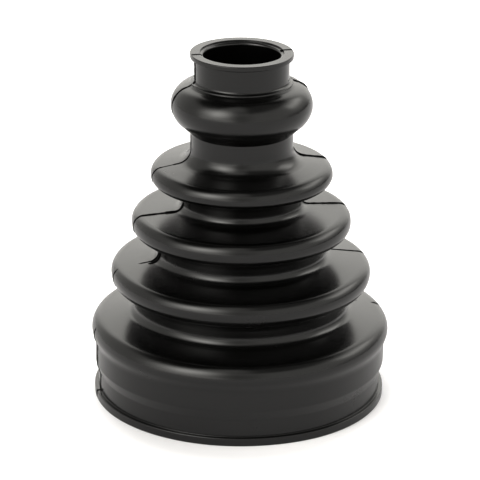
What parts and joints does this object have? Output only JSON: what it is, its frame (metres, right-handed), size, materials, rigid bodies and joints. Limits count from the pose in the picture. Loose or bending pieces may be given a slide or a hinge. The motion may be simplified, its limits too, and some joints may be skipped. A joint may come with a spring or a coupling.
{
  "type": "bellows boot",
  "caption": "Tapered moulded rubber bellows boot that stands on its large end, with stepped folds, a round bead and open ends that two band clamps close on a housing and a shaft.",
  "frame": {"origin": "centre of the base face of the large end, on the boot's axis", "axes": "+Z along the axis from the large end towards the small end; the boot is the same all round, so X and Y are any two square directions, and the mould's parting line lies near the XZ plane"},
  "size_m": [0.0986, 0.0986, 0.1175],
  "materials": {
    "rubber": "semi-gloss moulded black rubber"
  },
  "bodies": {
    "root": {"bellows_boot": "rubber"}
  },
  "joints": []
}
